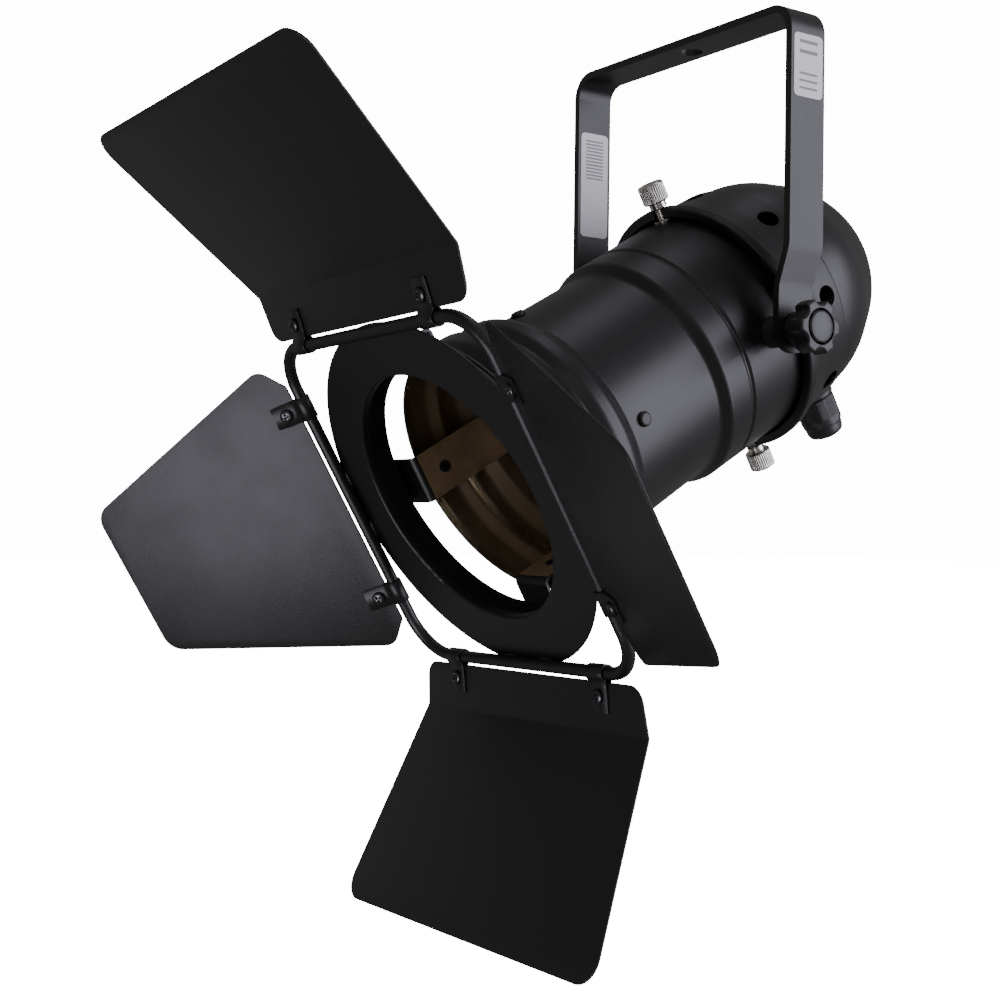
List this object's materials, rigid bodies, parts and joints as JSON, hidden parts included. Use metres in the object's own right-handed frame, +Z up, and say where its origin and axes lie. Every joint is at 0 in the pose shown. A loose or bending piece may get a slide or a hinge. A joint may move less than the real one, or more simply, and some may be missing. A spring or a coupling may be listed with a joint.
{
  "type": "par can light",
  "caption": "Small par can stage light with a domed rear cap, flat strap yoke, star knobs and a four-leaf barn door on a square wire frame.",
  "frame": {"origin": "centre of the yoke's hanging hole, on the top face of its bar", "axes": "+Z up out of the hanging hole, X along the tilt axis, the light leaves towards -Y, 30 degrees below level at rest"},
  "size_m": [0.3736, 0.3524, 0.3978],
  "materials": {
    "yoke_paint": "satin black powder coat",
    "can_paint": "semi-gloss black powder coat",
    "sheet_paint": "satin black powder coat",
    "black_screws": "black-plated steel",
    "black_plastic": "moulded, fine matte",
    "spacer_plastic": "turned nylon",
    "plated_steel": "bright nickel plate",
    "sticker": "satin vinyl",
    "seal_rubber": "matte",
    "ceramic": "glazed ceramic",
    "brass": "bright",
    "lead_brown": "glass-fibre sleeve",
    "lead_blue": "glass-fibre sleeve",
    "lead_green": "glass-fibre sleeve",
    "reflector": "aluminised glass",
    "lens_glass": "pressed glass"
  },
  "bodies": {
    "yoke": {"yoke": "yoke_paint", "label_outer": "sticker", "label_inner": "sticker"},
    "can": {"can_tube": "can_paint", "spacer_left": "spacer_plastic", "spacer_right": "spacer_plastic", "pivot_nut_left": "plated_steel", "pivot_nut_right": "plated_steel", "pivot_stud_left": "plated_steel", "pivot_stud_right": "plated_steel", "clip_top": "sheet_paint", "clip_left": "sheet_paint", "clip_bottom": "sheet_paint", "clip_right": "sheet_paint", "clip_rivets": "sheet_paint", "clip_eyelets": "sheet_paint", "screw_inserts": "plated_steel"},
    "knob_left": {"knob_left": "black_plastic", "knob_cap_left": "black_plastic"},
    "knob_right": {"knob_right": "black_plastic", "knob_cap_right": "black_plastic"},
    "rear_cap": {"rear_cap": "can_paint", "gland_body": "black_plastic", "gland_locknut": "black_plastic", "gland_seal": "seal_rubber", "lamp_holder": "ceramic", "holder_shell": "brass", "holder_contact": "brass", "holder_bracket": "plated_steel", "holder_screws": "plated_steel", "bracket_screws": "black_screws", "terminal_block": "ceramic", "terminal_screws": "plated_steel", "earth_screw": "plated_steel", "lead_live": "lead_brown", "lead_neutral": "lead_blue", "lead_earth": "lead_green"},
    "thumbscrew_top": {"thumbscrew_top": "plated_steel"},
    "thumbscrew_bottom": {"thumbscrew_bottom": "plated_steel"},
    "gland_nut": {"gland_nut": "black_plastic"},
    "lamp": {"lamp_bowl": "reflector", "lamp_lens": "lens_glass", "lamp_cap": "brass"},
    "colour_frame": {"colour_frame": "sheet_paint"},
    "barn_door": {"door_plate": "sheet_paint", "door_hub": "sheet_paint", "door_wire": "sheet_paint"},
    "leaf_top": {"leaf_top": "sheet_paint", "leaf_top_tabs": "sheet_paint", "leaf_top_screws": "black_screws"},
    "leaf_left": {"leaf_left": "sheet_paint", "leaf_left_tabs": "sheet_paint", "leaf_left_screws": "black_screws"},
    "leaf_bottom": {"leaf_bottom": "sheet_paint", "leaf_bottom_tabs": "sheet_paint", "leaf_bottom_screws": "black_screws"},
    "leaf_right": {"leaf_right": "sheet_paint", "leaf_right_tabs": "sheet_paint", "leaf_right_screws": "black_screws"}
  },
  "joints": [
    {"name": "can_tilt", "type": "hinge", "parent": "yoke", "child": "can", "pos_m": [0, 0, -0.139], "axis": [-1, 0, 0], "range_deg": [-205, 88]},
    {"name": "knob_left_turn", "type": "hinge", "parent": "can", "child": "knob_left", "pos_m": [-0.08, 0, -0.139], "axis": [-1, 0, 0], "range_deg": [0, 720]},
    {"name": "knob_right_turn", "type": "hinge", "parent": "can", "child": "knob_right", "pos_m": [0.08, 0, -0.139], "axis": [1, 0, 0], "range_deg": [0, 720]},
    {"name": "rear_cap_slide", "type": "slide", "parent": "can", "child": "rear_cap", "axis": [0, 0.8643, 0.503], "range_m": [0, 0.08]},
    {"name": "thumbscrew_top_turn", "type": "hinge", "parent": "can", "child": "thumbscrew_top", "pos_m": [0, -0.0215, -0.07283], "axis": [0, -0.503, 0.8643], "range_deg": [0, 1080]},
    {"name": "thumbscrew_bottom_turn", "type": "hinge", "parent": "can", "child": "thumbscrew_bottom", "pos_m": [0, 0.04691, -0.19038], "axis": [0, 0.503, -0.8643], "range_deg": [0, 1080]},
    {"name": "gland_nut_turn", "type": "hinge", "parent": "rear_cap", "child": "gland_nut", "pos_m": [0, 0.08592, -0.16536], "axis": [0, 0.503, -0.8643], "range_deg": [0, 720]},
    {"name": "lamp_turn", "type": "hinge", "parent": "rear_cap", "child": "lamp", "pos_m": [0, 0.05186, -0.10882], "axis": [0, -0.8643, -0.503], "range_deg": [0, 900]},
    {"name": "colour_frame_spin", "type": "hinge", "parent": "can", "child": "colour_frame", "pos_m": [0, -0.11849, -0.20796], "axis": [0, -0.8643, -0.503], "continuous": true},
    {"name": "barn_door_spin", "type": "hinge", "parent": "can", "child": "barn_door", "pos_m": [0, -0.12031, -0.20902], "axis": [0, -0.8643, -0.503], "continuous": true},
    {"name": "leaf_top_hinge", "type": "hinge", "parent": "barn_door", "child": "leaf_top", "pos_m": [-0.00159, -0.17136, -0.14735], "axis": [-0.9998, 0.0101, -0.0173], "range_deg": [-86.5, 29.5]},
    {"name": "leaf_left_hinge", "type": "hinge", "parent": "barn_door", "child": "leaf_left", "pos_m": [-0.07898, -0.13083, -0.21698], "axis": [0.0201, 0.5029, -0.8641], "range_deg": [-87, 78]},
    {"name": "leaf_bottom_hinge", "type": "hinge", "parent": "barn_door", "child": "leaf_bottom", "pos_m": [0.00159, -0.0919, -0.28387], "axis": [0.9998, -0.0101, 0.0173], "range_deg": [-51.5, 64.5]},
    {"name": "leaf_right_hinge", "type": "hinge", "parent": "barn_door", "child": "leaf_right", "pos_m": [0.07898, -0.13243, -0.21424], "axis": [-0.0201, -0.5029, 0.8641], "range_deg": [-102.5, 62.5]}
  ]
}
